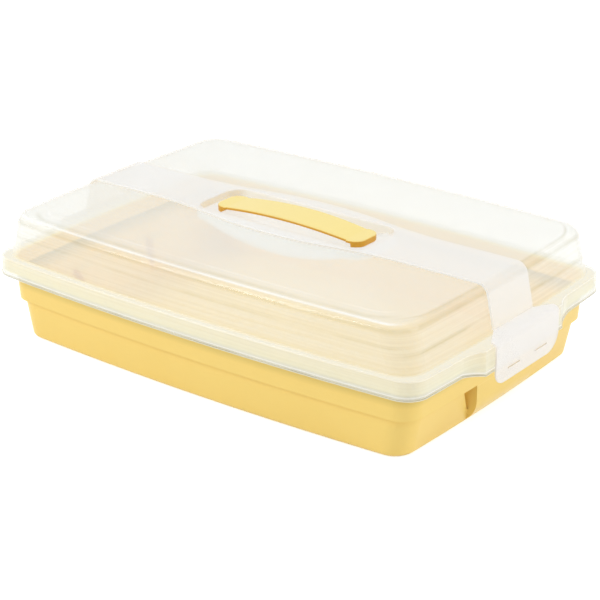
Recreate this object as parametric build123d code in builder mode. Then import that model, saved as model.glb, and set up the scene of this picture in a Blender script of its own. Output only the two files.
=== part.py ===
from build123d import *
import os
from math import atan2, cos, sin, tan

# Rectangular cake container: a deep tray, a clear raised cover, a carrying band with two swinging end
# clips, and an arched handle. Millimetres, +Z up. X runs along the long side and Y across. The origin
# is on the surface that the tray stands on, below its middle.

# Plan outline, at the cover's lower edge, between the middles of opposite sides
rim_length = 428.0
rim_width = 292.0
long_side_radius = 2620.0
short_side_radius = 2440.0
rim_corner = 19.0

# Tray, outside insets are measured from the plan outline
tray_wall = 2.0
tray_floor = 2.2
foot_inset_x = 20.6
foot_inset_y = 15.3
foot_corner = 18.0
foot_round = 4.0
step_height = 33.7
wall_top_inset = 13.6
wall_corner = 19.0
band_low_inset = 10.7
band_high_inset = 8.6
band_corner = 18.0
rim_height = 70.6
rim_thickness = 2.0
lip_depth = 10.6
lip_thickness = 1.8

# Middle block of each short side, with a tapering pocket beside each end
block_half_width = 40.5
block_round = 20.0
pocket_width = 14.0
pocket_depth = 8.5
pocket_foot = 12.0
pocket_tip = 1.9

# Ears: the rims bulge outward where the clips come down
ear_flat = 56.0
ear_blend = 22.0
ear_edge = 1.5
ear_projection = 5.6

# Cover
cover_wall = 1.5
cover_seat_gap = 0.3
skirt_gap = 0.6
skirt_inset = 0.6
skirt_height = 57.8
skirt_lip = 1.6
ear_drop = 4.8
cover_height = 109.5
dome_foot_inset_x = 6.5
dome_foot_inset_y = 5.5
dome_top_inset_x = 15.1
dome_top_inset_y = 6.1
dome_foot_corner = 21.0
dome_top_corner = 25.0
dome_round = 8.5
flange_round = 1.2
dome_foot_round = 1.2

# Carrying band over the cover, and the dish that is pressed down into it below the handle
band_thickness = 1.6
band_gap = 0.3
band_half_width = 28.5
band_swell = 13.0
swell_half_length = 130.0
dish_half_length = 84.0
dish_half_width = 28.0
dish_corner = 14.0
dish_edge_round = 1.0
band_edge_round = 0.6
seat_depth = 6.2
seat_length = 14.0
dish_depth = 18.0
dish_gap = 0.4

# End clips
fold_height = 76.2
hinge_gap = 0.4
clip_thickness = 1.5
clip_half_width = 45.6
clip_root = 28.0
clip_root_lap = 0.8
clip_flare = 9.0
shoulder_fall = 1.3
clip_bend = 3.6
clip_foot = 38.2
clip_corner = 14.0
clip_edge_round = 0.5
clip_lean_height = 53.0
clip_lean = 0.7
clip_foot_thickness = 0.8
clip_gap = 1.0
lug_inner = 11.0
lug_length = 17.4
lug_height = 2.4
lug_reach = 0.5
slot_height = 1.4
slot_foot = 48.3

# Handle
handle_half_length = 74.0
handle_half_width = 16.0
handle_neck = 14.4
handle_end_half_width = 15.6
handle_end_length = 13.0
handle_end_round = 10.0
handle_pad_round = 1.0
handle_thickness = 2.4
handle_crown = 3.3
handle_end_drop = 0.8
handle_foot = 8.0
peg_radius = 2.4
peg_gap = 0.15
peg_spacing = 14.0
peg_tip_gap = 0.5

# Points closer than this count as one place when a face is picked for rounding
same_place = 0.05

# Places worked out from the sizes above
half_length = rim_length / 2
half_width = rim_width / 2
rim_inset = skirt_inset + cover_wall + skirt_gap
cover_seat = rim_height + cover_seat_gap
band_seat = cover_height + band_gap
band_top = band_seat + band_thickness
seat_height = band_top - seat_depth
dish_height = band_top - dish_depth
wall_rise = cover_height - cover_seat
wall_lean = atan2(dome_top_inset_x - dome_foot_inset_x, wall_rise)
handle_top = band_top + handle_crown
handle_end_top = band_top - handle_end_drop
clip_inside = half_length + ear_projection + clip_gap
clip_outside = clip_inside + clip_thickness
peg_place = handle_half_length - handle_foot / 2


def bowed_outline(height, inset_x, inset_y, corner):
    """Rectangle with gently bowed sides and round corners, on the level plane at this height."""
    side_x = half_length - inset_x
    side_y = half_width - inset_y
    corner_y = side_y - (side_x - side_y**2 / (2 * short_side_radius)) ** 2 / (2 * long_side_radius)
    corner_x = side_x - corner_y**2 / (2 * short_side_radius)
    with BuildSketch(Plane.XY.offset(height)) as outline:
        with BuildLine():
            ThreePointArc((-corner_x, -corner_y), (0, -side_y), (corner_x, -corner_y))
            ThreePointArc((corner_x, -corner_y), (side_x, 0), (corner_x, corner_y))
            ThreePointArc((corner_x, corner_y), (0, side_y), (-corner_x, corner_y))
            ThreePointArc((-corner_x, corner_y), (-side_x, 0), (-corner_x, -corner_y))
        make_face()
        fillet(outline.vertices(), corner)
    return outline.sketch


def ear_outline(height, inset):
    """The two ears of a rim, joined by a bar across the middle. A hollow arc leads out to each flat."""
    edge = half_length - inset
    outer = edge + ear_projection
    root = ear_flat + ear_blend
    shallow = edge - root**2 / (2 * short_side_radius)
    with BuildSketch(Plane.XY.offset(height)) as ears:
        with BuildLine():
            TangentArc((shallow, -root), (outer, -ear_flat), tangent=(0, 1))
            Line((outer, -ear_flat), (outer, ear_flat))
            TangentArc((shallow, root), (outer, ear_flat), tangent=(0, -1))
            Line((shallow, root), (-shallow, root))
            TangentArc((-shallow, root), (-outer, ear_flat), tangent=(0, -1))
            Line((-outer, ear_flat), (-outer, -ear_flat))
            TangentArc((-shallow, -root), (-outer, -ear_flat), tangent=(0, 1))
            Line((-shallow, -root), (shallow, -root))
        make_face()
        fillet(ears.vertices().group_by(Axis.X)[0] + ears.vertices().group_by(Axis.X)[-1], ear_edge)
    return ears.sketch


def eared_plate(low, high, inset):
    """Plate between two heights with the rim's outline and its ears."""
    with BuildPart() as plate:
        extrude(bowed_outline(low, inset, inset, rim_corner - inset), amount=high - low)
        extrude(ear_outline(low, inset), amount=high - low)
    return plate.part


def eared_ring(low, high, inset, thickness):
    """Upright wall that follows the rim's outline and its ears."""
    with BuildPart() as ring:
        add(eared_plate(low, high, inset))
        add(eared_plate(low, high, inset + thickness), mode=Mode.SUBTRACT)
    return ring.part


def edge_slab(low, high):
    """Slab across the whole length between two heights, which drops with the ears' lower edge."""
    flat = ear_flat
    slope = ear_flat + ear_blend
    with BuildPart() as slab:
        with BuildSketch(Plane.YZ):
            with BuildLine():
                Polyline(
                    (-half_width, high), (-half_width, low), (-slope, low), (-flat, low - ear_drop),
                    (flat, low - ear_drop), (slope, low), (half_width, low), (half_width, high),
                    (slope, high), (flat, high - ear_drop), (-flat, high - ear_drop), (-slope, high),
                    close=True,
                )
            make_face()
        extrude(amount=rim_length, both=True)
    return slab.part


def shell_between(low, low_insets, low_corner, high, high_insets, high_corner):
    """Solid with straight sides between two outlines."""
    with BuildPart() as solid:
        sections = [
            bowed_outline(low, *low_insets, low_corner),
            bowed_outline(high, *high_insets, high_corner),
        ]
        loft(sections=sections, ruled=True)
    return solid.part


def inset_at(height, low, low_inset, high, high_inset):
    """Inset of a leaning wall at one height."""
    return low_inset + (high_inset - low_inset) * (height - low) / (high - low)


def tray_wall_solid(growth, floor, top_inset, top, top_corner):
    """Leaning lower part of the tray, drawn inward by this growth, with a rounded foot."""
    low_insets = (
        inset_at(floor, 0, foot_inset_x, step_height, wall_top_inset) + growth,
        inset_at(floor, 0, foot_inset_y, step_height, wall_top_inset) + growth,
    )
    with BuildPart() as lower:
        add(shell_between(floor, low_insets, foot_corner - growth, top, (top_inset,) * 2, top_corner))
        fillet(lower.faces().sort_by(Axis.Z)[0].edges(), foot_round - growth)
    return lower.part


def pocket_solid(growth):
    """Tapering pockets beside the middle blocks of both short sides, grown by this amount."""
    inner = block_half_width - growth
    outer = inner + pocket_width + 2 * growth
    foot = pocket_foot - growth
    roof = step_height + growth
    tip = inner + pocket_tip + 2 * growth
    with BuildPart() as pocket:
        with BuildSketch(Plane.YZ.offset(half_length - wall_top_inset - pocket_depth - growth)):
            with BuildLine():
                Polyline((inner, foot), (inner, roof), (outer, roof), (tip, foot), close=True)
            make_face()
        extrude(amount=pocket_depth + foot_inset_x)
        mirror(about=Plane.XZ)
        mirror(about=Plane.YZ)
    return pocket.part


def dish_block(growth):
    """Solid that fills the handle's dish, grown outward and down by this amount, to the band's top."""
    end = dish_half_length + growth
    seat = seat_height - growth
    hollow = dish_half_length - seat_length
    with BuildPart() as block:
        with BuildSketch(Plane.XZ):
            with BuildLine():
                Line((hollow, seat), (end, seat))
                Line((end, seat), (end, band_top))
                Line((end, band_top), (-end, band_top))
                Line((-end, band_top), (-end, seat))
                Line((-end, seat), (-hollow, seat))
                ThreePointArc((-hollow, seat), (0, dish_height - growth), (hollow, seat))
            make_face()
        extrude(amount=dish_half_width + growth, both=True)
        fillet(block.edges().filter_by(Axis.Z), dish_corner + growth)
    return block.part


def end_strip(clearance, thickness, low, half_breadth):
    """Strip that lies over the cover's top and comes down its right end wall to this height."""
    reach = half_length - dome_top_inset_x
    start = swell_half_length

    def corner(offset):
        return reach + offset * (1 - sin(wall_lean)) / cos(wall_lean), cover_height + offset

    def foot(offset):
        edge, top = corner(offset)
        return edge + (top - low) * tan(wall_lean), low

    outside = clearance + thickness
    with BuildPart() as strip:
        with BuildSketch(Plane.XZ):
            with BuildLine():
                near_points = ((start, cover_height + clearance), corner(clearance), foot(clearance))
                near = FilletPolyline(*near_points, radius=dome_round + clearance)
                far_points = ((start, cover_height + outside), corner(outside), foot(outside))
                far = FilletPolyline(*far_points, radius=dome_round + outside)
                Line(near @ 0, far @ 0)
                Line(near @ 1, far @ 1)
            make_face()
        extrude(amount=half_breadth, both=True)
    return strip.part


# Tray: leaning lower wall, a band that stands out above a step, and a flat rim with a turned-down lip
inner_step = step_height + tray_floor
with BuildPart(mode=Mode.PRIVATE) as tray_hollow:
    hollow_top_inset = wall_top_inset + tray_wall
    add(tray_wall_solid(tray_wall, tray_floor, hollow_top_inset, inner_step, wall_corner - tray_wall))
    add(pocket_solid(tray_floor), mode=Mode.SUBTRACT)
    low_inset = inset_at(inner_step, step_height, band_low_inset, rim_height, band_high_inset) + tray_wall
    high_inset = band_high_inset + tray_wall
    band_hollow_corner = band_corner - tray_wall
    low_section = (inner_step, (low_inset,) * 2, band_hollow_corner)
    high_section = (rim_height, (high_inset,) * 2, band_hollow_corner)
    add(shell_between(*low_section, *high_section))
with BuildPart(mode=Mode.PRIVATE) as middle_block:
    extrude(bowed_outline(0, band_low_inset, band_low_inset, band_corner), amount=step_height)
    Box(rim_length, 2 * block_half_width, 2 * step_height, mode=Mode.INTERSECT)
    foot_edges = middle_block.faces().sort_by(Axis.Z)[0].edges().group_by(Axis.X)
    fillet(foot_edges[0] + foot_edges[-1], block_round)
with BuildPart() as base_tray:
    add(tray_wall_solid(0, 0, wall_top_inset, step_height, wall_corner))
    low_section = (step_height, (band_low_inset,) * 2, band_corner)
    high_section = (rim_height, (band_high_inset,) * 2, band_corner)
    add(shell_between(*low_section, *high_section))
    add(middle_block.part)
    add(eared_plate(rim_height - rim_thickness, rim_height, rim_inset))
    add(eared_ring(rim_height - lip_depth, rim_height, rim_inset, lip_thickness))
    add(pocket_solid(0), mode=Mode.SUBTRACT)
    add(tray_hollow.part, mode=Mode.SUBTRACT)
base_tray.part.label = "base_tray"

# Cover: skirt with a fine lip, flat ledge, raised box with a rounded top, and a recess for the dish
skirt_foot = skirt_height - skirt_lip
flange_top = cover_seat + cover_wall
foot_insets = (dome_foot_inset_x, dome_foot_inset_y)
top_insets = (dome_top_inset_x, dome_top_inset_y)
under_top = cover_height - cover_wall
inner_foot_insets = (dome_foot_inset_x + cover_wall, dome_foot_inset_y + cover_wall)
inner_top_insets = (
    inset_at(under_top, cover_seat, dome_foot_inset_x, cover_height, dome_top_inset_x) + cover_wall,
    inset_at(under_top, cover_seat, dome_foot_inset_y, cover_height, dome_top_inset_y) + cover_wall,
)
recess_growth = band_thickness + dish_gap
with BuildPart(mode=Mode.PRIVATE) as skirt:
    add(eared_ring(skirt_foot - ear_drop, cover_seat, skirt_inset, cover_wall))
    add(edge_slab(skirt_foot, cover_height), mode=Mode.INTERSECT)
with BuildPart(mode=Mode.PRIVATE) as skirt_edge:
    add(eared_ring(skirt_foot - ear_drop, cover_seat, 0, skirt_inset + cover_wall))
    add(edge_slab(skirt_foot, skirt_height), mode=Mode.INTERSECT)
with BuildPart(mode=Mode.PRIVATE) as ledge:
    add(eared_plate(cover_seat, flange_top, skirt_inset))
    fillet(ledge.faces().sort_by(Axis.Z)[-1].edges(), flange_round)
with BuildPart(mode=Mode.PRIVATE) as dome_hollow:
    low_section = (cover_seat, inner_foot_insets, dome_foot_corner - cover_wall)
    high_section = (under_top, inner_top_insets, dome_top_corner - cover_wall)
    add(shell_between(*low_section, *high_section))
    fillet(dome_hollow.faces().sort_by(Axis.Z)[-1].edges(), dome_round - cover_wall)
    add(dish_block(recess_growth + cover_wall), mode=Mode.SUBTRACT)
with BuildPart() as dome_lid:
    low_section = (cover_seat, foot_insets, dome_foot_corner)
    high_section = (cover_height, top_insets, dome_top_corner)
    add(shell_between(*low_section, *high_section))
    fillet(dome_lid.faces().sort_by(Axis.Z)[-1].edges(), dome_round)
    add(ledge.part)
    add(dome_hollow.part, mode=Mode.SUBTRACT)
    add(dish_block(recess_growth), mode=Mode.SUBTRACT)
    add(skirt.part)
    add(skirt_edge.part)
    ledge_tops = dome_lid.faces().filter_by_position(Axis.Z, flange_top - same_place, flange_top + same_place)
    fillet(ledge_tops.sort_by(SortBy.AREA)[-1].inner_wires().edges(), dome_foot_round)
dome_lid.part.label = "dome_lid"

# Carrying band: flat over the cover, wider around the handle's dish, and down both end walls
with BuildPart() as carry_band:
    with BuildSketch(Plane.XY.offset(band_seat)) as plan:
        with BuildLine():
            half_turn = swell_half_length / 2
            middle = band_half_width + band_swell / 2
            TangentArc((0, band_half_width + band_swell), (half_turn, middle), tangent=(1, 0))
            TangentArc((swell_half_length, band_half_width), (half_turn, middle), tangent=(-1, 0))
            Line((swell_half_length, band_half_width), (swell_half_length, 0))
            Line((swell_half_length, 0), (0, 0))
            Line((0, 0), (0, band_half_width + band_swell))
        make_face()
        mirror(about=Plane.YZ)
        mirror(about=Plane.XZ)
    extrude(amount=band_thickness)
    add(end_strip(band_gap, band_thickness, fold_height, band_half_width))
    mirror(end_strip(band_gap, band_thickness, fold_height, band_half_width), about=Plane.YZ)
    add(dish_block(band_thickness))
    add(dish_block(0), mode=Mode.SUBTRACT)
    top_face = carry_band.faces().filter_by(Plane.XY).sort_by(Axis.Z)[-1]
    fillet(top_face.inner_wires().edges(), dish_edge_round)
    top_face = carry_band.faces().filter_by(Plane.XY).sort_by(Axis.Z)[-1]
    fillet(top_face.outer_wire().edges().filter_by(Axis.Y, reverse=True), band_edge_round)
    with Locations((0, 0, seat_height)):
        with GridLocations(2 * peg_place, peg_spacing, 2, 2):
            Cylinder(peg_radius + peg_gap, 4 * band_thickness, mode=Mode.SUBTRACT)
carry_band.part.label = "carry_band"

# End clips: a flared shoulder from the fold, a plate over the rim, and two low lugs above slots
fold_x = half_length - dome_top_inset_x + (cover_height - fold_height) * tan(wall_lean)
fold_x = fold_x + (band_gap + band_thickness) / cos(wall_lean)
clip_start = fold_x - clip_root_lap
shoulder_top = fold_height - hinge_gap
with BuildPart() as clip_right:
    with BuildSketch(Plane.XZ):
        with BuildLine():
            outer_path = FilletPolyline(
                (clip_start, shoulder_top),
                (clip_outside, shoulder_top - shoulder_fall),
                (clip_outside, clip_lean_height),
                (clip_inside - clip_lean + clip_foot_thickness, clip_foot),
                radius=clip_bend + clip_thickness,
            )
            inner_path = FilletPolyline(
                (clip_start, shoulder_top - clip_thickness),
                (clip_inside, shoulder_top - shoulder_fall - clip_thickness),
                (clip_inside, clip_lean_height),
                (clip_inside - clip_lean, clip_foot),
                radius=clip_bend,
            )
            Line(outer_path @ 0, inner_path @ 0)
            Line(outer_path @ 1, inner_path @ 1)
        make_face()
    extrude(amount=clip_half_width, both=True)
    with BuildSketch(Plane.XY.offset(shoulder_top)):
        with BuildLine():
            Polyline(
                (clip_start, clip_root),
                (clip_start + clip_flare, clip_half_width),
                (clip_start, clip_half_width),
                close=True,
            )
        make_face()
        mirror(about=Plane.XZ)
    extrude(amount=-2 * clip_bend - clip_thickness, mode=Mode.SUBTRACT)
    with BuildSketch(Plane.YZ.offset(clip_start)):
        with BuildLine():
            FilletPolyline(
                (-clip_half_width, fold_height),
                (-clip_half_width, clip_foot),
                (clip_half_width, clip_foot),
                (clip_half_width, fold_height),
                radius=clip_corner,
            )
            Line((clip_half_width, fold_height), (-clip_half_width, fold_height))
        make_face()
    extrude(amount=clip_outside, mode=Mode.INTERSECT)
    fillet(clip_right.faces().sort_by(Axis.X)[-1].outer_wire().edges(), clip_edge_round)
    slot_top = slot_foot + slot_height
    with Locations((clip_inside, 0, slot_foot)):
        with GridLocations(0, 2 * lug_inner + lug_length, 1, 2):
            Box(
                3 * clip_thickness, lug_length, slot_height,
                align=(Align.CENTER, Align.CENTER, Align.MIN), mode=Mode.SUBTRACT,
            )
    with Locations((clip_inside - lug_reach, 0, slot_top)):
        with GridLocations(0, 2 * lug_inner + lug_length, 1, 2):
            Box(clip_thickness, lug_length, lug_height, align=(Align.MIN, Align.CENTER, Align.MIN))
clip_right.part.label = "clip_right"

with BuildPart() as clip_left:
    mirror(clip_right.part, about=Plane.YZ)
clip_left.part.label = "clip_left"

# Handle: arched strip with a slight waist before each flat end, a foot at each end, and pegs below
with BuildPart() as handle:
    neck_x = handle_half_length - handle_end_length
    foot_start = handle_half_length - handle_foot
    under_end = handle_end_top - handle_thickness
    under_top = handle_top - handle_thickness
    with BuildSketch(Plane.XZ):
        with BuildLine():
            Line((handle_half_length, seat_height), (handle_half_length, handle_end_top))
            Line((handle_half_length, handle_end_top), (neck_x, handle_end_top))
            ThreePointArc((neck_x, handle_end_top), (0, handle_top), (-neck_x, handle_end_top))
            Line((-neck_x, handle_end_top), (-handle_half_length, handle_end_top))
            Line((-handle_half_length, handle_end_top), (-handle_half_length, seat_height))
            Line((-handle_half_length, seat_height), (-foot_start, seat_height))
            Line((-foot_start, seat_height), (-foot_start, under_end))
            Line((-foot_start, under_end), (-neck_x, under_end))
            ThreePointArc((-neck_x, under_end), (0, under_top), (neck_x, under_end))
            Line((neck_x, under_end), (foot_start, under_end))
            Line((foot_start, under_end), (foot_start, seat_height))
            Line((foot_start, seat_height), (handle_half_length, seat_height))
        make_face()
    extrude(amount=2 * handle_half_width, both=True)
    with BuildSketch(Plane.XY.offset(seat_height)):
        with BuildLine():
            ThreePointArc((-neck_x, handle_neck), (0, handle_half_width), (neck_x, handle_neck))
            Line((neck_x, handle_neck), (neck_x, -handle_neck))
            ThreePointArc((neck_x, -handle_neck), (0, -handle_half_width), (-neck_x, -handle_neck))
            Line((-neck_x, -handle_neck), (-neck_x, handle_neck))
        make_face()
        with GridLocations(2 * handle_half_length - handle_end_length, 0, 2, 1):
            RectangleRounded(handle_end_length, 2 * handle_end_half_width, handle_pad_round)
        RectangleRounded(2 * handle_half_length, 2 * handle_half_width, handle_end_round, mode=Mode.INTERSECT)
    extrude(amount=2 * seat_depth, mode=Mode.INTERSECT)
    with Locations((0, 0, seat_height)):
        with GridLocations(2 * peg_place, peg_spacing, 2, 2):
            Cylinder(
                peg_radius, band_thickness + dish_gap - peg_tip_gap,
                align=(Align.CENTER, Align.CENTER, Align.MAX),
            )
handle.part.label = "handle"

os.makedirs("parts", exist_ok=True)
for piece in (base_tray, dome_lid, carry_band, clip_left, clip_right, handle):
    export_step(piece.part, f"parts/{piece.part.label}.step")
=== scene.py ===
"""Looks of the rectangular cake container.

It dresses the tray, the cover, the carrying band and its two clips, and makes the handle with rounded edges.
"""
import logging
from dataclasses import dataclass, replace
from enum import Enum
from math import pi, radians
from typing import Any, Callable, Optional, Union

import bpy
import numpy as np
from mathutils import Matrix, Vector


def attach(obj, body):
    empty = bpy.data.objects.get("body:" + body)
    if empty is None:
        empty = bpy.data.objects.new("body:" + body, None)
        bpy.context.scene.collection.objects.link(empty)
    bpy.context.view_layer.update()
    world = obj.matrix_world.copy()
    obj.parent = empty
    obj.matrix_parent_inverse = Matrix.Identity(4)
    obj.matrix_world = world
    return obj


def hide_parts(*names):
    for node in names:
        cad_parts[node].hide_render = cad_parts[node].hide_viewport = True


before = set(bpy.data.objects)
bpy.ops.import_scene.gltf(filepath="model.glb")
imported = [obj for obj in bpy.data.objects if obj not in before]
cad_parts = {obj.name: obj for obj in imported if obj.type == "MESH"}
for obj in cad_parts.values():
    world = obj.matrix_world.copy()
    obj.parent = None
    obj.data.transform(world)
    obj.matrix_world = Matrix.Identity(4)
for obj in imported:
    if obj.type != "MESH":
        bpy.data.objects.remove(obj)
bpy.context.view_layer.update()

LOG = logging.getLogger("cake_container")
MM = 0.001
WHITE = (1.0, 1.0, 1.0, 1.0)
# The point attribute that holds each point's share of the painted side shade.
SIDE_SHADE_SHARE = "side_shade_share"
SHARP_ANGLE = radians(38)
WELD_DECIMALS = 4
PLASTIC_IOR = 1.49
NOISE_MIDDLE = 0.5
FULL_TURN = 2 * pi
QUARTER_TURN = pi / 2
Colour = tuple[float, float, float]
Place = tuple[float, float, float]


class Node(Enum):
    """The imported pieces, by the names that the frame gives them."""

    TRAY = "base_tray"
    COVER = "dome_lid"
    BAND = "carry_band"
    HANDLE = "handle"
    CLIP_LEFT = "clip_left"
    CLIP_RIGHT = "clip_right"


class MixSocket(Enum):
    """The numbers of a colour Mix node's sockets, whose names come more than once."""

    SHARE = 0
    UNDER = 6
    OVER = 7
    RESULT = 2


class Wire:
    """One number travelling through a node tree; arithmetic on it adds Math nodes."""

    def __init__(self, board: "Board", socket: bpy.types.NodeSocket) -> None:
        """Keeps the board and the output socket that the number comes from."""
        self.board = board
        self.socket = socket

    def _maths(self, operation: str, first: "Number", second: "Number") -> "Wire":
        """Adds one Math node.

        Args:
            operation: the node's operation.
            first: its first value.
            second: its second value.

        Returns:
            The result as a wire.
        """
        node = self.board.node("ShaderNodeMath", {"operation": operation}, {0: first, 1: second})
        return Wire(self.board, node.outputs[0])

    def __add__(self, other: "Number") -> "Wire":
        """self + other."""
        return self._maths("ADD", self, other)

    def __radd__(self, other: "Number") -> "Wire":
        """other + self."""
        return self._maths("ADD", other, self)

    def __sub__(self, other: "Number") -> "Wire":
        """self - other."""
        return self._maths("SUBTRACT", self, other)

    def __rsub__(self, other: "Number") -> "Wire":
        """other - self."""
        return self._maths("SUBTRACT", other, self)

    def __mul__(self, other: "Number") -> "Wire":
        """self * other."""
        return self._maths("MULTIPLY", self, other)

    def __rmul__(self, other: "Number") -> "Wire":
        """other * self."""
        return self._maths("MULTIPLY", other, self)

    def __truediv__(self, other: "Number") -> "Wire":
        """self / other."""
        return self._maths("DIVIDE", self, other)

    def __rtruediv__(self, other: "Number") -> "Wire":
        """other / self."""
        return self._maths("DIVIDE", other, self)

    def __pow__(self, other: "Number") -> "Wire":
        """self to the power other."""
        return self._maths("POWER", self, other)

    def __rpow__(self, other: "Number") -> "Wire":
        """other to the power self."""
        return self._maths("POWER", other, self)

    def __abs__(self) -> "Wire":
        """The distance of self from nought."""
        return self._maths("ABSOLUTE", self, 0.0)

    def at_least(self, floor: float) -> "Wire":
        """self, or the floor where self is below it."""
        return self._maths("MAXIMUM", self, floor)

    def clamped(self) -> "Wire":
        """self, kept between 0 and 1."""
        node = self.board.node("ShaderNodeClamp", None, {"Value": self})
        return Wire(self.board, node.outputs[0])


Number = Union[float, Wire]


@dataclass(frozen=True)
class Noise:
    """A noise: about how many metres its blobs are across, and how many finer layers it has."""

    size: float
    detail: float


@dataclass
class Board:
    """A node tree with one method for making its nodes."""

    tree: bpy.types.NodeTree

    @classmethod
    def cleared(cls, owner: Union[bpy.types.Material, bpy.types.World]) -> "Board":
        """Empties an owner's node tree.

        Args:
            owner: the material or the world that has the tree.

        Returns:
            The board of its tree.
        """
        owner.use_nodes = True
        owner.node_tree.nodes.clear()
        return cls(owner.node_tree)

    def node(self, kind: str, settings: Optional[dict[str, Any]] = None,
             inputs: Optional[dict[Any, Any]] = None) -> bpy.types.Node:
        """Makes one node.

        Args:
            kind: the node's type.
            settings: its own settings; "stops" is a ramp's list of places and colours.
            inputs: values, sockets or wires by socket name or number.

        Returns:
            The new node.
        """
        made = self.tree.nodes.new(kind)
        for name, value in (settings or {}).items():
            if name == "stops":
                self._set_stops(made, value)
            else:
                setattr(made, name, value)
        for name, value in (inputs or {}).items():
            if isinstance(value, Wire):
                self.tree.links.new(value.socket, made.inputs[name])
            elif isinstance(value, bpy.types.NodeSocket):
                self.tree.links.new(value, made.inputs[name])
            else:
                made.inputs[name].default_value = value
        return made

    @staticmethod
    def _set_stops(ramp: bpy.types.Node, stops: list[tuple[float, Colour]]) -> None:
        """Puts a ramp's stops in place of its own two.

        Args:
            ramp: the ramp's node.
            stops: the place and the colour of each stop.
        """
        elements = ramp.color_ramp.elements
        while len(elements) > 1:
            elements.remove(elements[-1])
        elements[0].position = stops[0][0]
        elements[0].color = (*stops[0][1], 1.0)
        for place, colour in stops[1:]:
            elements.new(place).color = (*colour, 1.0)

    def wire(self, socket: bpy.types.NodeSocket) -> Wire:
        """Wraps an output socket so that it can be calculated with."""
        return Wire(self, socket)

    def noise(self, place: bpy.types.NodeSocket, noise: Noise) -> Wire:
        """Adds a noise.

        Args:
            place: the coordinates that it reads.
            noise: its size and detail.

        Returns:
            Its value as a wire.
        """
        inputs = {"Vector": place, "Scale": 1.0 / noise.size, "Detail": noise.detail}
        return self.wire(self.node("ShaderNodeTexNoise", None, inputs).outputs["Fac"])

    def tint(self, under: bpy.types.NodeSocket, over: Colour, share: Number) -> bpy.types.NodeSocket:
        """Lays one colour over another.

        Args:
            under: the colour below.
            over: the colour on top.
            share: how much of the top colour shows, from 0 to 1.

        Returns:
            The mixed colour's socket.
        """
        inputs = {
            MixSocket.SHARE.value: share,
            MixSocket.UNDER.value: under,
            MixSocket.OVER.value: (*over, 1.0),
        }
        node = self.node("ShaderNodeMix", {"data_type": "RGBA"}, inputs)
        return node.outputs[MixSocket.RESULT.value]


class Measure(Enum):
    """What a line's place is measured by: its height, or how far it lies inside the plan outline."""

    HEIGHT = "height"
    INSET = "inset"


class Sides(Enum):
    """The sides of the container that a line runs along."""

    ALL = "all"
    FRONT = "front"
    RIGHT = "right"
    BOTH = "front and right"


@dataclass(frozen=True)
class EdgeLine:
    """A soft line of painted light along a wall or its bend; the painted highlights, dark reflections and
    shade lines are all drawn with it.

    Its colour is what shows there, its strength is how much of that shows, its gain is how much less
    see-through the wall is there, and a patchy line breaks up along its length.
    """

    place: float
    spread: float
    colour: Colour
    strength: float
    gain: float = 0.0
    patchy: float = 0.0
    measure: Measure = Measure.HEIGHT
    sides: Sides = Sides.ALL
    drops_at_ears: bool = False


@dataclass(frozen=True)
class BowedPlan:
    """A plan outline with gently bowed sides: its half sizes, the radii of its sides and its corners.

    The turn is the stretch over which one side's lines give way to the next one's.
    """

    half_length: float
    half_width: float
    long_radius: float
    short_radius: float
    corner: float
    turn: float = 20 * MM

    def read(self, x: Wire, y: Wire) -> tuple[Wire, dict[Sides, Number]]:
        """Measures a place against the outline.

        The distance to a long side is its half width, less the bow's fall x squared over twice its radius,
        less how far across the place is. The inset is the corner's radius less the length of the part by
        which both distances fall short of it, so its lines turn round the corners.

        Args:
            x: the place along the container.
            y: the place across it.

        Returns:
            The inset, and for each side a number that is 1 beside it and falls to 0 at the next one.
        """
        to_long = self.half_width - x * x / (2 * self.long_radius) - abs(y)
        to_short = self.half_length - y * y / (2 * self.short_radius) - abs(x)
        short_of_long = (self.corner - to_long).at_least(0.0)
        short_of_short = (self.corner - to_short).at_least(0.0)
        inset = self.corner - (short_of_long * short_of_long + short_of_short * short_of_short) ** 0.5
        long_side = ((to_short - to_long) / self.turn + 0.5).clamped()
        front = long_side * (0.5 - y / self.turn).clamped()
        right = (1.0 - long_side) * (0.5 + x / self.turn).clamped()
        return inset, {Sides.ALL: 1.0, Sides.FRONT: front, Sides.RIGHT: right, Sides.BOTH: front + right}


@dataclass(frozen=True)
class EarDrop:
    """How a rim's lower edge drops at the ears.

    It is down by the drop out to the flat from the middle line, and level again one blend further out.
    """

    drop: float
    flat: float
    blend: float

    def at(self, across: Wire) -> Wire:
        """How far the edge is down at a place this far across from the middle line."""
        return ((self.flat + self.blend - abs(across)) / self.blend).clamped() * self.drop


@dataclass(frozen=True)
class ToneZone:
    """Heights with a painted shade tone, which comes in from start to full and goes out below the end."""

    colour: Colour
    start: float
    full: float
    end: float
    fade: float = 1 * MM

    def share(self, level: Wire) -> Wire:
        """How much of the tone shows at a height."""
        coming = ((level - self.start) / (self.full - self.start)).clamped()
        return coming * ((self.end - level) / self.fade).clamped()


@dataclass
class Skin:
    """A plastic's colour and opacity while its layers are laid on."""

    board: Board
    place: bpy.types.NodeSocket
    colour: bpy.types.NodeSocket
    opacity: Number

    def lay(self, colour: Colour, share: Number) -> None:
        """Lays a colour on, as far as its share says."""
        self.colour = self.board.tint(self.colour, colour, share)

    def thicken(self, opacity: Number) -> None:
        """Makes the plastic less see-through by this much."""
        self.opacity = self.opacity + opacity

    def axes(self) -> tuple[Wire, Wire, Wire]:
        """Splits the place in its three coordinates.

        Returns:
            The place along the container, across it and upwards.
        """
        outputs = self.board.node("ShaderNodeSeparateXYZ", None, {0: self.place}).outputs
        return self.board.wire(outputs["X"]), self.board.wire(outputs["Y"]), self.board.wire(outputs["Z"])


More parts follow.
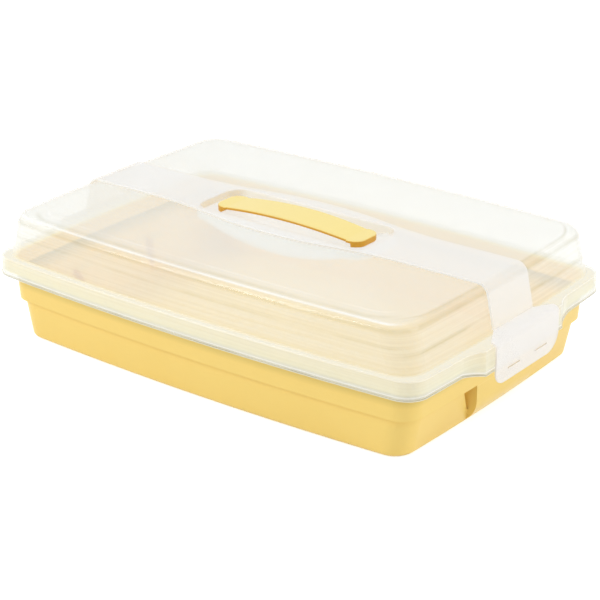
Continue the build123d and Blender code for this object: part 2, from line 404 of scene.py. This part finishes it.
@dataclass(frozen=True)
class MouldedPlastic:
    """A moulded plastic: its two close tones, its gloss, how much shows through it and its fine surface.

    The edge values count where the wall turns away, which is where the painted edge shade falls, and the cut
    values on faces that look along the y axis. The side shade, the zone and the lines lay painted shade and
    painted highlights on.
    """

    name: str
    colour: Colour
    shade_colour: Colour
    roughness: float
    gloss_level: float = 0.5
    opacity: float = 1.0
    edge_opacity: float = 1.0
    # Painted darkening where the wall turns away, standing in for the dark refraction at a clear wall's edge.
    painted_edge_shade: Optional[Colour] = None
    edge_power: float = 3.0
    cut_opacity: Optional[float] = None
    cut_colour: Colour = (0.94, 0.98, 1.0)
    cut_power: float = 6.0
    # Painted shade on a piece's sides and underside, where its own attribute says.
    painted_side_shade: Optional[Colour] = None
    cloud: Noise = Noise(60 * MM, 3.0)
    shade_until: float = 0.3
    colour_from: float = 0.7
    grain: Noise = Noise(0.7 * MM, 2.0)
    grain_depth: float = 0.02 * MM
    ripple: Noise = Noise(45 * MM, 1.0)
    ripple_depth: float = 0.02 * MM
    roughness_start: float = -0.04
    roughness_by_cloud: float = 0.05
    roughness_by_grain: float = 0.03
    flow: Noise = Noise(1.0, 2.0)
    flow_share: float = 0.0
    flow_length: float = 160 * MM
    flow_width: float = 2.2 * MM
    # A tone laid by height; the tray's is painted shade under the cover's lip.
    zone: Optional[ToneZone] = None
    lines: tuple[EdgeLine, ...] = ()
    patches: Noise = Noise(55 * MM, 2.0)
    patch_level: float = 0.42
    patch_contrast: float = 7.0
    ears: Optional[EarDrop] = None
    plan: Optional[BowedPlan] = None

    def build(self) -> bpy.types.Material:
        """Makes the material.

        The colour drifts slowly between the two tones, the gloss drifts with it, and the surface has a fine
        mould grain on top of long shallow ripples. All of it reads Object coordinates. Only the painted side
        shade reads the piece's own attribute, which is 1 on its sides.

        Returns:
            The finished material.
        """
        material = bpy.data.materials.new(self.name)
        board = Board.cleared(material)
        place = board.node("ShaderNodeTexCoord").outputs["Object"]
        cloud = board.noise(place, self.cloud)
        grain = board.noise(place, self.grain)
        ripple = board.noise(place, self.ripple)
        skin = self._skin(board, place, cloud)
        # The height counts in millimetres, so the bump's distance is one.
        height = grain * (self.grain_depth / MM) + ripple * (self.ripple_depth / MM)
        bump = board.node("ShaderNodeBump", None, {"Strength": 1.0, "Distance": MM, "Height": height})
        roughness = (self.roughness + self.roughness_start + cloud * self.roughness_by_cloud
                     + grain * self.roughness_by_grain)
        values: dict[str, Any] = {
            "Base Color": skin.colour,
            "Roughness": roughness,
            "Normal": bump.outputs["Normal"],
            "IOR": PLASTIC_IOR,
            "Specular IOR Level": self.gloss_level,
        }
        if self.opacity < 1.0:
            values["Alpha"] = skin.opacity.clamped()
        shader = board.node("ShaderNodeBsdfPrincipled", None, values)
        board.node("ShaderNodeOutputMaterial", None, {"Surface": shader.outputs[0]})
        return material

    def _skin(self, board: Board, place: bpy.types.NodeSocket, cloud: Wire) -> Skin:
        """Lays the colours and the opacities over each other.

        Args:
            board: the node tree.
            place: the Object coordinates.
            cloud: the slow drift of the tone.

        Returns:
            The finished skin.
        """
        stops = [(self.shade_until, self.shade_colour), (self.colour_from, self.colour)]
        colour = board.node("ShaderNodeValToRGB", {"stops": stops}, {"Fac": cloud}).outputs["Color"]
        skin = Skin(board, place, colour, self.opacity)
        self._lay_edge(skin)
        # Painted side shade on the piece's sides and underside.
        if self.painted_side_shade:
            side = board.node("ShaderNodeAttribute", {"attribute_name": SIDE_SHADE_SHARE}).outputs["Fac"]
            skin.lay(self.painted_side_shade, board.wire(side))
        if self.cut_opacity:
            self._lay_cut(skin)
        if self.flow_share:
            self._lay_flow(skin)
        # The zone's tone by height, which on the tray is painted shade.
        if self.zone:
            skin.lay(self.zone.colour, self.zone.share(skin.axes()[2]))
        # Painted highlights and painted shade lines.
        if self.lines:
            self._lay_lines(skin)
        return skin

    def _lay_edge(self, skin: Skin) -> None:
        """Makes the plastic denser where its wall turns away, with painted edge shade there if it has one.

        Args:
            skin: what it is laid on.
        """
        facing = skin.board.node("ShaderNodeLayerWeight").outputs["Facing"]
        edge = skin.board.wire(facing) ** self.edge_power
        skin.thicken(edge * (self.edge_opacity - self.opacity))
        # Painted edge shade.
        if self.painted_edge_shade:
            skin.lay(self.painted_edge_shade, edge)

    def _lay_cut(self, skin: Skin) -> None:
        """Makes the faces that look along the y axis denser, which are a strip's long cut edges.

        Args:
            skin: what it is laid on.
        """
        board = skin.board
        normal = board.node("ShaderNodeTexCoord").outputs["Normal"]
        across = board.node("ShaderNodeSeparateXYZ", None, {0: normal}).outputs["Y"]
        cut = abs(board.wire(across)) ** self.cut_power
        skin.thicken(cut * (self.cut_opacity - self.opacity))
        skin.lay(self.cut_colour, cut)

    def _lay_flow(self, skin: Skin) -> None:
        """Varies the opacity in long thin level streaks.

        Args:
            skin: what it is laid on.
        """
        scale = (1 / self.flow_length, 1 / self.flow_length, 1 / self.flow_width)
        mapping = skin.board.node("ShaderNodeMapping", None, {"Vector": skin.place, "Scale": scale})
        streaks = skin.board.noise(mapping.outputs[0], self.flow)
        skin.thicken((streaks - NOISE_MIDDLE) * self.flow_share)

    def _lay_lines(self, skin: Skin) -> None:
        """Lays the soft lines of painted highlight and painted shade on.

        A line's mask is 1 in its middle and falls evenly to 0 at its spread, times its strength, of which
        the patchy part follows a noise, times 1 beside the sides that it runs along.

        Args:
            skin: what they are laid on.
        """
        x, y, level = skin.axes()
        drop = self.ears.at(y) if self.ears else 0.0
        inset, beside = self.plan.read(x, y) if self.plan else (level, {Sides.ALL: 1.0})
        patch = skin.board.noise(skin.place, self.patches) - self.patch_level
        patch = (patch * self.patch_contrast).clamped()
        for line in self.lines:
            off = (level if line.measure is Measure.HEIGHT else inset) - line.place
            if line.drops_at_ears:
                off = off + drop
            even, patchy = line.strength * (1.0 - line.patchy), line.strength * line.patchy
            mask = (1.0 - abs(off) / line.spread).clamped() * (even + patch * patchy) * beside[line.sides]
            skin.lay(line.colour, mask)
            skin.thicken(mask * line.gain)


def linked(name: str, data: bpy.types.ID) -> bpy.types.Object:
    """Makes an object and links it to the scene.

    Args:
        name: its name.
        data: its mesh, lamp or camera.

    Returns:
        The new object.
    """
    made = bpy.data.objects.new(name, data)
    bpy.context.scene.collection.objects.link(made)
    return made


def point_at(thing: bpy.types.Object, place: Place, target: Place) -> None:
    """Puts a camera or a lamp in its place and turns it to its target."""
    thing.location = place
    thing.rotation_euler = (Vector(target) - Vector(place)).to_track_quat("-Z", "Y").to_euler()


@dataclass(frozen=True)
class Lamp:
    """A square soft lamp: its place, the point it faces, its side in metres and its power in watts."""

    name: str
    place: Place
    aim: Place
    size: float
    power: float

    def hang(self) -> None:
        """Makes the lamp and hangs it in its place."""
        data = bpy.data.lights.new(self.name, "AREA")
        data.shape = "SQUARE"
        data.size = self.size
        data.energy = self.power
        point_at(linked(self.name, data), self.place, self.aim)


@dataclass(frozen=True)
class Studio:
    """The white room: floor, soft lamps and the camera at the photograph's angle."""

    eye: Place = (0.8876, -1.1638, 0.6587)
    target: Place = (0.02154, -0.01916, 0.0500)
    lens_mm: float = 115.31
    sensor_mm: float = 36.0
    shift_x: float = -0.0043
    world_level: float = 0.62
    floor_half: float = 3.0
    floor_level: float = -0.4 * MM
    floor_tone: Colour = (0.9, 0.9, 0.9)
    floor_glow: float = 0.6
    lamps: tuple[Lamp, ...] = (
        Lamp("left_light", place=(-1.2, -1.5, 1.3), aim=(0.0, 0.0, 0.05), size=0.9, power=18.0),
        Lamp("right_light", place=(1.7, 0.5, 1.0), aim=(0.0, 0.0, 0.05), size=1.2, power=11.0),
        Lamp("top_light", place=(0.0, 0.2, 1.7), aim=(0.0, 0.0, 0.0), size=1.4, power=3.0),
    )

    def build(self) -> None:
        """Makes the camera, the world, the floor and the lamps."""
        self._camera()
        self._world()
        self._floor()
        for lamp in self.lamps:
            lamp.hang()
        bpy.context.scene.view_settings.view_transform = "Standard"

    def _camera(self) -> None:
        """Sets the camera where the photograph was taken from."""
        data = bpy.data.cameras.new("camera")
        data.sensor_fit = "HORIZONTAL"
        data.sensor_width = self.sensor_mm
        data.lens = self.lens_mm
        data.shift_x = self.shift_x
        camera = linked("camera", data)
        point_at(camera, self.eye, self.target)
        bpy.context.scene.camera = camera

    def _world(self) -> None:
        """Lights the object evenly and shows white to the camera and in reflections."""
        world = bpy.data.worlds.new("white_room")
        bpy.context.scene.world = world
        board = Board.cleared(world)
        seen = self._seen(board)
        strength = seen + (1.0 - seen) * self.world_level
        light = board.node("ShaderNodeBackground", None, {"Color": WHITE, "Strength": strength})
        board.node("ShaderNodeOutputWorld", None, {"Surface": light.outputs[0]})

    @staticmethod
    def _seen(board: Board) -> Wire:
        """Tells the rays that show the room from the rays that light the object.

        Args:
            board: the node tree.

        Returns:
            1 for a ray from the camera, off gloss or through glass, otherwise 0.
        """
        path = board.node("ShaderNodeLightPath")
        seen = board.wire(path.outputs["Is Camera Ray"])
        for name in ("Is Glossy Ray", "Is Transmission Ray"):
            seen = seen + path.outputs[name]
        return seen.clamped()

    def _floor(self) -> None:
        """Lays a white floor that keeps the object's soft shadow, just below it so that they don't meet."""
        half, level = self.floor_half, self.floor_level
        mesh = bpy.data.meshes.new("floor")
        corners = [(-half, -half, level), (half, -half, level), (half, half, level), (-half, half, level)]
        mesh.from_pydata(corners, [], [(0, 1, 2, 3)])
        material = bpy.data.materials.new("white_floor")
        board = Board.cleared(material)
        matt = board.node("ShaderNodeBsdfDiffuse", None, {"Color": (*self.floor_tone, 1.0)}).outputs[0]
        glow = board.node("ShaderNodeEmission", None, {"Color": WHITE, "Strength": self.floor_glow})
        both = board.node("ShaderNodeAddShader", None, {0: matt, 1: glow.outputs[0]}).outputs[0]
        mix = board.node("ShaderNodeMixShader", None, {0: self._seen(board), 1: matt, 2: both})
        board.node("ShaderNodeOutputMaterial", None, {"Surface": mix.outputs[0]})
        mesh.materials.append(material)
        floor = linked("floor", mesh)


@dataclass(frozen=True)
class Shell:
    """Part of a mesh: points in millimetres, quads, and each point's share of the painted side shade."""

    points: np.ndarray
    faces: np.ndarray
    share: np.ndarray

    @staticmethod
    def joined(shells: list["Shell"]) -> "Shell":
        """Puts shells one after the other.

        Args:
            shells: the shells.

        Returns:
            One shell, whose quads count its points on from shell to shell.
        """
        starts = np.cumsum([0] + [len(shell.points) for shell in shells[:-1]])
        return Shell(
            np.concatenate([shell.points for shell in shells]),
            np.concatenate([shell.faces + start for shell, start in zip(shells, starts)]),
            np.concatenate([shell.share for shell in shells]),
        )


def grid_faces(rows: int, columns: int) -> np.ndarray:
    """The quads of a grid of points.

    Args:
        rows: how many rows of points there are.
        columns: how many points each row has.

    Returns:
        One row of four point numbers for each quad.
    """
    row, column = np.meshgrid(np.arange(rows - 1), np.arange(columns - 1), indexing="ij")
    first = (row * columns + column).ravel()
    return np.stack([first, first + 1, first + columns + 1, first + columns], axis=1)


def welded_piece(name: str, shell: Shell) -> bpy.types.Object:
    """Makes a piece of a shell, with points in one place made one.

    A quad's corner that falls on the one before it is left out, so a quad at a pole becomes a triangle, and a
    quad with fewer than three corners goes.

    Args:
        name: the piece's name.
        shell: its points, quads and shares of the painted side shade, which it keeps as its own attribute.

    Returns:
        The new object.
    """
    places = np.round(shell.points, WELD_DECIMALS)
    _, kept, number = np.unique(places, axis=0, return_index=True, return_inverse=True)
    corners = number.reshape(-1)[shell.faces].astype(np.int32)
    stays = corners != np.roll(corners, 1, axis=1)
    stays &= stays.sum(axis=1, keepdims=True) > 2
    counts = stays.sum(axis=1)
    starts = (np.cumsum(counts) - counts)[counts > 0].astype(np.int32)
    mesh = bpy.data.meshes.new(name)
    mesh.vertices.add(len(kept))
    mesh.vertices.foreach_set("co", (shell.points[kept] * MM).astype(np.float32).ravel())
    mesh.loops.add(int(counts.sum()))
    mesh.loops.foreach_set("vertex_index", corners[stays])
    mesh.polygons.add(len(starts))
    mesh.polygons.foreach_set("loop_start", starts)
    mesh.update(calc_edges=True)
    attribute = mesh.attributes.new(SIDE_SHADE_SHARE, "FLOAT", "POINT")
    attribute.data.foreach_set("value", shell.share[kept].astype(np.float32))
    mesh.validate()
    mesh.shade_smooth()
    mesh.set_sharp_from_angle(angle=SHARP_ANGLE)
    return linked(name, mesh)


def dress(node: Node, material: bpy.types.Material) -> bpy.types.Object:
    """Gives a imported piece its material.

    Args:
        node: the piece.
        material: what it is made of.

    Returns:
        The piece's object.
    """
    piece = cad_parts[node.value]
    piece.data.materials.clear()
    piece.data.materials.append(material)
    LOG.info("dressed %s with %s", node.value, material.name)
    return piece


def let_light_through(piece: bpy.types.Object) -> None:
    """Keeps a piece from shading what is below it, as the soft light of the photograph does."""
    piece.visible_shadow = False
    piece.visible_diffuse = False


YELLOW = MouldedPlastic(
    "yellow_plastic", (0.95, 0.705, 0.215), (0.935, 0.685, 0.20), roughness=0.30, gloss_level=0.25,
)
# The handle's yellow is paler than the tray's as painted sheen on its top, and its side colour is painted
# shade on its sides, its underside and its pegs.
HANDLE_YELLOW_PAINTED_SHEEN = MouldedPlastic(
    "handle_yellow_painted_sheen_and_shade", (0.95, 0.78, 0.27), (0.94, 0.76, 0.25), roughness=0.30,
    painted_side_shade=(0.68, 0.36, 0.03), grain_depth=0.012 * MM,
)
# The clear, milky and frosted plastics darken by painted edge shade where the wall turns away.
CLEAR = MouldedPlastic(
    "clear_plastic", (0.92, 0.955, 0.93), (0.91, 0.945, 0.92), roughness=0.09, opacity=0.32,
    edge_opacity=0.85, painted_edge_shade=(0.80, 0.81, 0.82), grain_depth=0.0, ripple_depth=0.05 * MM,
    flow_share=0.18,
)
MILKY = MouldedPlastic(
    "milky_plastic", (0.93, 0.925, 0.91), (0.92, 0.915, 0.90), roughness=0.22, opacity=0.42,
    edge_opacity=0.8, painted_edge_shade=(0.84, 0.84, 0.83), cut_opacity=0.95, grain_depth=0.0,
)
FROSTED = MouldedPlastic(
    "frosted_plastic", (0.93, 0.905, 0.88), (0.92, 0.895, 0.87), roughness=0.28, opacity=0.66,
    edge_opacity=0.95, painted_edge_shade=(0.80, 0.80, 0.79), grain_depth=0.03 * MM,
)


@dataclass
class Tray:
    """The deep yellow tray, with painted shade just under the cover's lip and a painted highlight at its
    step.
    """

    finish: MouldedPlastic = YELLOW
    # Painted shade under the cover's lip, which throws no shadow in the render.
    shade: ToneZone = ToneZone((0.53, 0.41, 0.10), start=44 * MM, full=57 * MM, end=59 * MM)
    # Painted highlight along the step.
    painted_step_highlight: EdgeLine = EdgeLine(32.9 * MM, spread=0.7 * MM, colour=(1.0, 0.76, 0.28), strength=0.6)

    def build(self) -> list[bpy.types.Object]:
        """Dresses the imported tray, whose shape is right as it is.

        Returns:
            The tray's pieces.
        """
        finish = replace(self.finish, zone=self.shade, lines=(self.painted_step_highlight,))
        return [dress(Node.TRAY, finish.build())]


@dataclass
class Cover:
    """The clear raised cover, with the heights and insets of the painted highlights, painted dark reflections
    and painted shade that its bends show.
    """

    finish: MouldedPlastic = CLEAR
    lip_edge: float = 57.3 * MM
    lip_top: float = 58.8 * MM
    skirt_middle: float = 62.0 * MM
    flange_edge: float = 71.7 * MM
    end_streak: float = 87.0 * MM
    second_line: float = 92.0 * MM
    round_middle: float = 104.6 * MM
    round_top: float = 108.7 * MM
    end_top_inset: float = 4.5 * MM
    top_line_inset: float = 9.5 * MM
    top_shine_inset: float = 19.0 * MM
    plan: BowedPlan = BowedPlan(
        half_length=198.9 * MM, half_width=139.9 * MM, long_radius=2620 * MM, short_radius=2440 * MM,
        corner=40 * MM,
    )
    ears: EarDrop = EarDrop(drop=4.8 * MM, flat=56.0 * MM, blend=22.0 * MM)
    # Colours of the painted lines: brown for the dark reflections in the bends, dark for the painted shade at
    # the lip, white for the painted highlights, and the skirt's for the painted yellow cast from the tray.
    brown: Colour = (0.38, 0.36, 0.17)
    dark: Colour = (0.20, 0.16, 0.08)
    white: Colour = (0.98, 0.98, 0.96)
    skirt: Colour = (0.84, 0.83, 0.55)

    def build(self) -> list[bpy.types.Object]:
        """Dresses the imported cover.

        The light passes through it to the tray, as it does through the thin clear wall of the real one.

        Returns:
            The cover's pieces.
        """
        lines = self._skirt_lines() + self._top_lines() + self._wall_lines()
        finish = replace(self.finish, lines=lines, ears=self.ears, plan=self.plan)
        cover = dress(Node.COVER, finish.build())
        let_light_through(cover)
        return [cover]

    def _skirt_lines(self) -> tuple[EdgeLine, ...]:
        """The skirt's painted yellow cast from the tray, the painted highlight and painted shade line at its
        lip, and the painted highlight on its flange, all the way round.

        Returns:
            The lines.
        """
        return (
            # Painted yellow cast from the tray on the lower skirt.
            EdgeLine(self.skirt_middle, spread=13.0 * MM, colour=self.skirt, strength=0.5, gain=0.40,
                     drops_at_ears=True),
            # Painted highlight on the lip.
            EdgeLine(self.lip_top, spread=0.8 * MM, colour=self.white, strength=0.9, gain=0.3,
                     drops_at_ears=True),
            # Painted shade line at the lip's edge.
            EdgeLine(self.lip_edge, spread=0.55 * MM, colour=self.dark, strength=1.0, gain=0.6,
                     patchy=0.3, drops_at_ears=True),
            # Painted highlight on the flange's rounded edge.
            EdgeLine(self.flange_edge, spread=1.0 * MM, colour=self.white, strength=0.6, gain=0.3),
        )

    def _top_lines(self) -> tuple[EdgeLine, ...]:
        """The painted highlight and painted dark reflection lines on the flat top, along its front and its
        right edge.

        Returns:
            The lines.
        """
        return (
            # Painted highlight on the top near its front edge.
            EdgeLine(self.top_shine_inset, spread=2.5 * MM, colour=self.white, strength=0.5, gain=0.15,
                     patchy=0.8, measure=Measure.INSET, sides=Sides.FRONT),
            # Painted dark reflection line on the top along the front.
            EdgeLine(self.top_line_inset, spread=4.0 * MM, colour=self.brown, strength=0.34, gain=0.12,
                     patchy=0.4, measure=Measure.INSET, sides=Sides.FRONT),
            # Painted dark reflection line on the top along the right edge.
            EdgeLine(self.end_top_inset, spread=2.5 * MM, colour=self.brown, strength=0.40, gain=0.1,
                     patchy=0.4, measure=Measure.INSET, sides=Sides.RIGHT),
        )

    def _wall_lines(self) -> tuple[EdgeLine, ...]:
        """The painted highlight and painted dark reflection lines on the top's rounded edge and on the
        sloping walls, in front and at the right.

        Returns:
            The lines.
        """
        return (
            # Painted highlight along the top's rounded front edge.
            EdgeLine(self.round_top, spread=0.75 * MM, colour=self.white, strength=1.0, gain=0.6,
                     patchy=0.2, sides=Sides.FRONT),
            # Painted dark reflection on the rounded edge; its negative gain thins the wall, which also dims
            # the lamp's real highlight there.
            EdgeLine(self.round_middle, spread=2.6 * MM, colour=self.brown, strength=0.40, gain=-0.03,
                     patchy=0.3, sides=Sides.BOTH),
            # Painted dark reflection line on the front wall.
            EdgeLine(self.second_line, spread=1.8 * MM, colour=self.brown, strength=0.3, gain=0.1,
                     patchy=0.8, sides=Sides.FRONT),
            # Painted dark reflection streak on the right end wall.
            EdgeLine(self.end_streak, spread=2.4 * MM, colour=self.brown, strength=0.5, gain=0.1,
                     patchy=0.95, sides=Sides.RIGHT),
        )


@dataclass
class CarryBand:
    """The milky band that runs over the cover and down its end walls."""

    finish: MouldedPlastic = MILKY

    def build(self) -> list[bpy.types.Object]:
        """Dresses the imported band, and lets the light through it.

        Returns:
            The band's pieces.
        """
        band = dress(Node.BAND, self.finish.build())
        let_light_through(band)
        return [band]


@dataclass
class Clip:
    """One swinging end clip."""

    node: Node
    finish: MouldedPlastic = FROSTED

    def build(self) -> list[bpy.types.Object]:
        """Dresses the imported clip, and lets the light through it.

        Returns:
            The clip's pieces.
        """
        clip = dress(self.node, self.finish.build())
        let_light_through(clip)
        return [clip]


@dataclass
class Handle:
    """The arched handle with softly rounded edges, its two feet and its pegs. Sizes are in millimetres."""

    half_length: float = 74.0
    half_width: float = 16.0
    neck_x: float = 61.0
    neck_half_width: float = 14.4
    pad_half_width: float = 15.6
    pad_round: float = 1.0
    end_round: float = 10.0
    top: float = 114.7
    end_top: float = 110.6
    thickness: float = 2.4
    foot_start: float = 66.0
    foot_slope: float = 0.3
    foot_clearance: float = 0.2
    foot_level: float = 105.2
    top_round: float = 0.9
    under_round: float = 0.5
    peg_radius: float = 2.4
    peg_reach: float = 1.5
    peg_root: float = 0.3
    peg_chamfer: float = 0.4
    peg_x: float = 70.0
    peg_y: float = 7.0
    finish: MouldedPlastic = HANDLE_YELLOW_PAINTED_SHEEN
    arc_points: int = 40
    pad_points: int = 6
    end_points: int = 22
    edge_points: int = 7
    across_points: int = 15
    peg_points: int = 33

    def build(self) -> list[bpy.types.Object]:
        """Makes the strap and the pegs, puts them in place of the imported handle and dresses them.

        Returns:
            The handle's pieces.
        """
        side, normal = self._side()
        wall = self._wall(side, normal)
        upper = self._cap(side - self.top_round * normal, self._top_at, 0.0)
        under = self._cap(side - self.under_round * normal, self._under_at, 1.0)
        under = replace(under, faces=under.faces[:, ::-1])
        pegs = [self._peg(x, y) for x in (-self.peg_x, self.peg_x) for y in (-self.peg_y, self.peg_y)]
        piece = welded_piece("handle_strap", Shell.joined([wall, upper, under, *pegs]))
        piece.data.materials.append(self.finish.build())
        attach(piece, "band")
        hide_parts(Node.HANDLE.value)
        let_light_through(piece)
        LOG.info("made %s of %d faces", piece.name, len(piece.data.polygons))
        return [piece]

    def _top_at(self, x: np.ndarray) -> np.ndarray:
        """Height of the upper side: level on the end pads, an arc between them.

        The arc is its top, less its radius, plus the root of the radius squared less x squared.

        Args:
            x: places along the handle.

        Returns:
            The heights there.
        """
        rise = self.top - self.end_top
        radius = (self.neck_x**2 + rise**2) / (2 * rise)
        arc = self.top - radius + np.sqrt(np.maximum(radius**2 - x**2, 0))
        return np.where(np.abs(x) < self.neck_x, arc, self.end_top)

    def _under_at(self, x: np.ndarray) -> np.ndarray:
        """Height of the lower side: the upper side less the thickness, and level feet under the ends.

        Args:
            x: places along the handle.

        Returns:
            The heights there.
        """
        step = np.clip((np.abs(x) - self.foot_start + self.foot_slope) / self.foot_slope, 0, 1)
        strap = self._top_at(x) - self.thickness
        return strap + (self.foot_level - strap) * step

    def _quarter(self) -> tuple[np.ndarray, np.ndarray]:
        """One quarter of the plan outline, from the middle to the end.

        A flat arc runs from the middle to the neck, a small quarter circle leads out to the pad, a straight
        side follows, and a larger quarter circle turns to the level end.

        Returns:
            The points and the outward normals, one row for each place.
        """
        waist = self.half_width - self.neck_half_width
        radius = (self.neck_x**2 + waist**2) / (2 * waist)
        x = np.linspace(0, self.neck_x, self.arc_points)
        arc = np.stack([x, self.half_width - radius + np.sqrt(radius**2 - x**2)], axis=1)
        arc_normal = np.stack([x / radius, np.sqrt(1 - (x / radius) ** 2)], axis=1)
        turn = np.linspace(0, QUARTER_TURN, self.pad_points)
        pad_normal = np.stack([-np.cos(turn), np.sin(turn)], axis=1)
        pad_centre = (self.neck_x + self.pad_round, self.pad_half_width - self.pad_round)
        pad = pad_centre + pad_normal * self.pad_round
        end, end_normal = self._quarter_end()
        return np.concatenate([arc, pad, end]), np.concatenate([arc_normal, pad_normal, end_normal])

    def _quarter_end(self) -> tuple[np.ndarray, np.ndarray]:
        """The quarter circle at the end, with a point at each edge of the foot's slope and none close by.

        Returns:
            The points and the outward normals, one row for each place.
        """
        turn = np.linspace(0, QUARTER_TURN, self.end_points)
        normal = np.stack([np.sin(turn), np.cos(turn)], axis=1)
        centre = np.array([self.half_length - self.end_round, self.pad_half_width - self.end_round])
        slope_x = np.array([self.foot_start - self.foot_slope, self.foot_start])
        x = centre[0] + normal[:, 0] * self.end_round
        normal = normal[~np.isclose(x, slope_x[:, None], atol=self.foot_clearance).any(axis=0)]
        lean = (slope_x - centre[0]) / self.end_round
        normal = np.concatenate([normal, np.stack([lean, np.sqrt(1 - lean**2)], axis=1)])
        normal = normal[np.argsort(normal[:, 0])]
        return centre + normal * self.end_round, normal

    def _side(self) -> tuple[np.ndarray, np.ndarray]:
        """One long side of the plan outline, from end to end: the quarter and its mirror image.

        Returns:
            The points and the outward normals, one row for each place.
        """
        quarter, normal = self._quarter()
        flip = np.array([-1.0, 1.0])
        side = np.concatenate([quarter[:0:-1] * flip, quarter])
        return side, np.concatenate([normal[:0:-1] * flip, normal])

    def _ring(self, side: np.ndarray, normal: np.ndarray) -> tuple[np.ndarray, np.ndarray]:
        """The whole plan outline: the long side, one end, the other long side, the other end, closed.

        Args:
            side: the points of one long side.
            normal: its outward normals.

        Returns:
            The points and the outward normals, one row for each place.
        """
        flip, mirror = np.array([-1.0, 1.0]), np.array([1.0, -1.0])
        across = np.linspace(1, -1, self.across_points)
        end = np.stack([np.full(self.across_points, side[-1, 0]), across * side[-1, 1]], axis=1)
        end_normal = np.tile([1.0, 0.0], (self.across_points, 1))
        ring = np.concatenate([side, end, side[::-1] * mirror, end[::-1] * flip, side[:1]])
        normals = [normal, end_normal, normal[::-1] * mirror, end_normal * flip, normal[:1]]
        return ring, np.concatenate(normals)

    def _wall(self, side: np.ndarray, normal: np.ndarray) -> Shell:
        """The strap's edge: rings from its upper side to its lower side.

        They follow a quarter circle, the upright side and another quarter circle. Each ring is the outline
        drawn in along its normals by the radius less the radius times the sine of the turn above, and
        times its cosine below.

        Args:
            side: the points of one long side of the outline.
            normal: its outward normals.

        Returns:
            The wall.
        """
        ring, ring_normal = self._ring(side, normal)
        count = self.edge_points
        turn = np.linspace(0, QUARTER_TURN, count)
        leaving, arriving, level = 1 - np.sin(turn), 1 - np.cos(turn), np.zeros(count)
        inset = np.concatenate([self.top_round * leaving, self.under_round * arriving])
        fall = np.concatenate([self.top_round * arriving, level])
        rise = np.concatenate([level, self.under_round * leaving])
        plan = ring[None] - inset[:, None, None] * ring_normal[None]
        upper = self._top_at(plan[..., 0]) - fall[:, None]
        lower = self._under_at(plan[..., 0]) + rise[:, None]
        height = np.where(np.arange(2 * count)[:, None] < count, upper, lower)
        points = np.concatenate([plan, height[..., None]], axis=2).reshape(-1, 3)
        # The painted side shade comes in over the upper round and is full down the upright side and below.
        share = np.concatenate([np.linspace(0, 1, count) ** 2, np.ones(count)])
        return Shell(points, grid_faces(2 * count, len(ring)), np.repeat(share, len(ring)))

    def _cap(self, side: np.ndarray, level: Callable[[np.ndarray], np.ndarray], share: float) -> Shell:
        """The upper or lower side: straight rows of points across, from one long side to the other.

        Args:
            side: the points of the long side, where the rows start.
            level: the height by the place along the handle.
            share: the share of the painted side shade.

        Returns:
            The cap, which faces upwards.
        """
        x = np.repeat(side[:, :1], self.across_points, axis=1)
        y = side[:, 1:] * np.linspace(1, -1, self.across_points)
        points = np.stack([x, y, level(x)], axis=2).reshape(-1, 3)
        return Shell(points, grid_faces(*x.shape), np.full(len(points), share))

    def _peg(self, x: float, y: float) -> Shell:
        """A peg: a profile with a small chamfer at its tip, turned about the upright line at x, y.

        Args:
            x: its place along the handle.
            y: its place across it.

        Returns:
            The peg.
        """
        tip, root = self.foot_level - self.peg_reach, self.foot_level + self.peg_root
        radius = np.array([0, self.peg_radius - self.peg_chamfer, self.peg_radius, self.peg_radius, 0])
        level = np.array([tip, tip, tip + self.peg_chamfer, root, root])
        turn = np.linspace(0, FULL_TURN, self.peg_points)[:, None]
        around = np.stack([x + radius * np.cos(turn), y + radius * np.sin(turn), level + 0 * turn], axis=2)
        points = around.reshape(-1, 3)
        return Shell(points, grid_faces(self.peg_points, len(radius))[:, ::-1], np.ones(len(points)))


def main() -> None:
    """Builds every piece's looks and the room around them."""
    logging.basicConfig(level=logging.INFO, format="%(message)s")
    Studio().build()
    container = (Tray(), Cover(), CarryBand(), Clip(Node.CLIP_LEFT), Clip(Node.CLIP_RIGHT), Handle())
    for part in container:
        for piece in part.build():
            LOG.info("%s: %s", type(part).__name__, piece.name)


if __name__ == "__main__":
    main()
